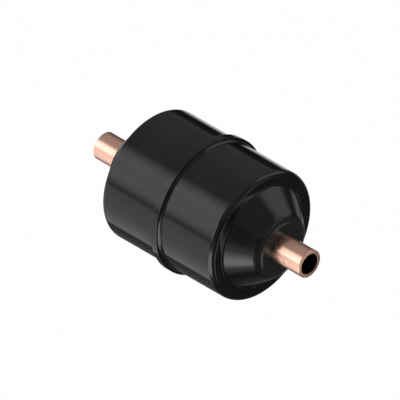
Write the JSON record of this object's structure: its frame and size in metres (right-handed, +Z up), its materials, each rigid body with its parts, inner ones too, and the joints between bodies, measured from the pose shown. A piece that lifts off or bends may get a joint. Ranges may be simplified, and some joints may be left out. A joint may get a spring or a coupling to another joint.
{
  "type": "refrigerant filter drier",
  "caption": "In-line solid-core filter drier: black steel body in two halves with a lapped, welded girth joint, conical ends and copper solder sockets.",
  "frame": {"origin": "on the body's axis, half way between the two tube mouths", "axes": "+X along the axis from the inlet to the outlet, +Z up, +Y to the left of the flow"},
  "size_m": [0.127, 0.066, 0.066],
  "materials": {
    "black_paint": "smooth glossy black coating over drawn steel",
    "copper": "bright drawn copper",
    "spring_steel": "bright hard-drawn wire",
    "plated_steel": "pressed, zinc-plated sheet",
    "felt": "dense needled felt",
    "desiccant": "moulded block of bonded beads, matt",
    "glass_fibre": "loose glass-fibre mat",
    "stainless_mesh": "fine woven stainless wire"
  },
  "bodies": {
    "root": {"inlet_shell": "black_paint", "outlet_shell": "black_paint", "girth_weld": "black_paint", "inlet_tube": "copper", "outlet_tube": "copper", "inlet_braze_ring": "black_paint", "outlet_braze_ring": "black_paint", "core_spring": "spring_steel", "spring_plate": "plated_steel", "inlet_felt": "felt", "desiccant_core": "desiccant", "core_seal_ring": "felt", "outlet_felt": "felt", "fibre_pad": "glass_fibre", "wire_screen": "stainless_mesh", "support_plate": "plated_steel"}
  },
  "joints": []
}
